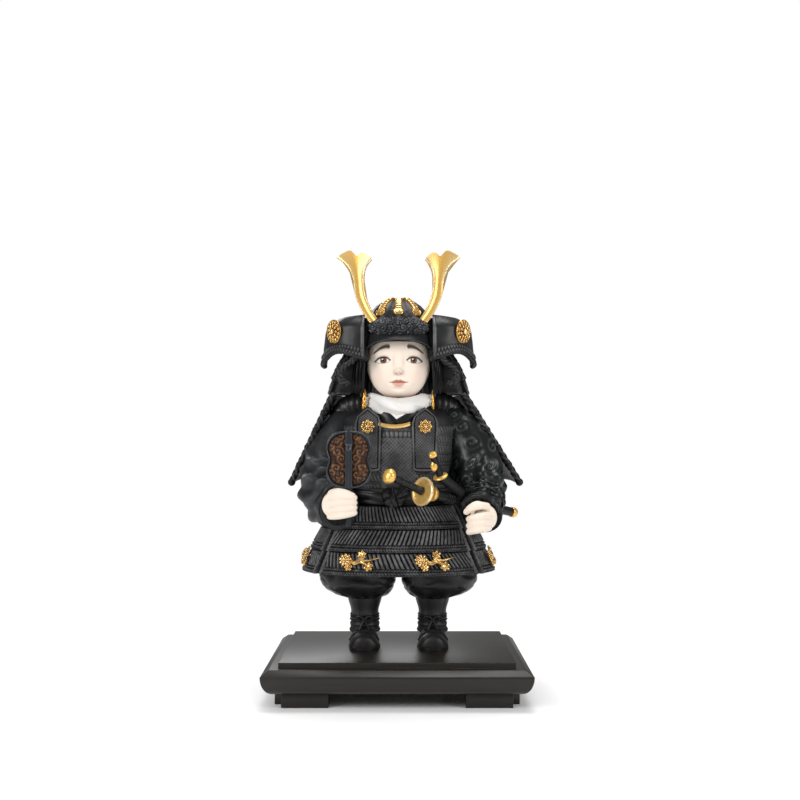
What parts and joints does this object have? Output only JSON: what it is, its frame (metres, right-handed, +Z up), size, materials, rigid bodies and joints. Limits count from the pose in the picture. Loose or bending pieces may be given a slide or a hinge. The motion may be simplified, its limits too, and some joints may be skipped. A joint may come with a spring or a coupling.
{
  "type": "samurai doll",
  "caption": "Standing boy-warrior display doll in laced armour and a horned helmet, holding a fan and wearing swords, on a moulded wooden stand.",
  "frame": {"origin": "centre of the stand's underside, on the surface that the doll stands on", "axes": "+Z up, -Y is the way the figure faces, +X to the viewer's right"},
  "size_m": [0.251, 0.2038, 0.4355],
  "materials": {
    "armour": "matt charcoal, cast lacing with worn lighter ridges",
    "cloth_black": "black cloth with a slight sheen",
    "cloth_grey": "dark grey cloth, matt",
    "leather": "black leather, satin",
    "gilt": "polished gilt",
    "skin": "pale porcelain, satin",
    "linen": "white cloth, soft folds",
    "hair": "black hair and curled pad",
    "lacquer": "carved brown wood, waxed",
    "steel": "dark blued steel",
    "stand_wood": "black-brown lacquered wood, satin"
  },
  "bodies": {
    "root": {"body_armour": "armour", "boot_left": "leather", "boot_right": "leather", "chest_board_left": "armour", "chest_board_right": "armour", "chest_flower_left": "gilt", "chest_flower_right": "gilt", "chin_cord_left": "gilt", "chin_cord_right": "gilt", "fan_frame": "steel", "fan_handle": "steel", "fan_panel": "lacquer", "fan_rib": "steel", "hair": "hair", "hand_fan": "skin", "hand_free": "skin", "head": "skin", "helmet_bowl": "armour", "helmet_pad": "hair", "helmet_strap_left": "gilt", "helmet_strap_middle": "gilt", "helmet_strap_right": "gilt", "helmet_visor": "armour", "horn_left": "gilt", "horn_right": "gilt", "long_sword_collar": "gilt", "long_sword_guard": "gilt", "long_sword_hilt": "leather", "long_sword_pommel": "gilt", "long_sword_scabbard": "leather", "long_sword_tip": "gilt", "neck_band": "gilt", "neck_guard": "armour", "rosette_left": "gilt", "rosette_right": "gilt", "sash": "cloth_black", "sash_knot": "cloth_black", "scarf": "linen", "short_sword_guard": "gilt", "short_sword_hilt": "leather", "short_sword_pommel": "gilt", "short_sword_scabbard": "leather", "shoulder_guard_left": "armour", "shoulder_guard_right": "armour", "skirt_back": "armour", "skirt_front": "armour", "skirt_left": "armour", "skirt_ribbon_left": "gilt", "skirt_ribbon_right": "gilt", "skirt_right": "armour", "sleeve_left": "cloth_grey", "sleeve_right": "cloth_black", "stand_board": "stand_wood", "stand_foot_back_left": "stand_wood", "stand_foot_back_right": "stand_wood", "stand_foot_front_left": "stand_wood", "stand_foot_front_right": "stand_wood", "trousers": "cloth_black", "turnback_left": "armour", "turnback_right": "armour"}
  },
  "joints": []
}
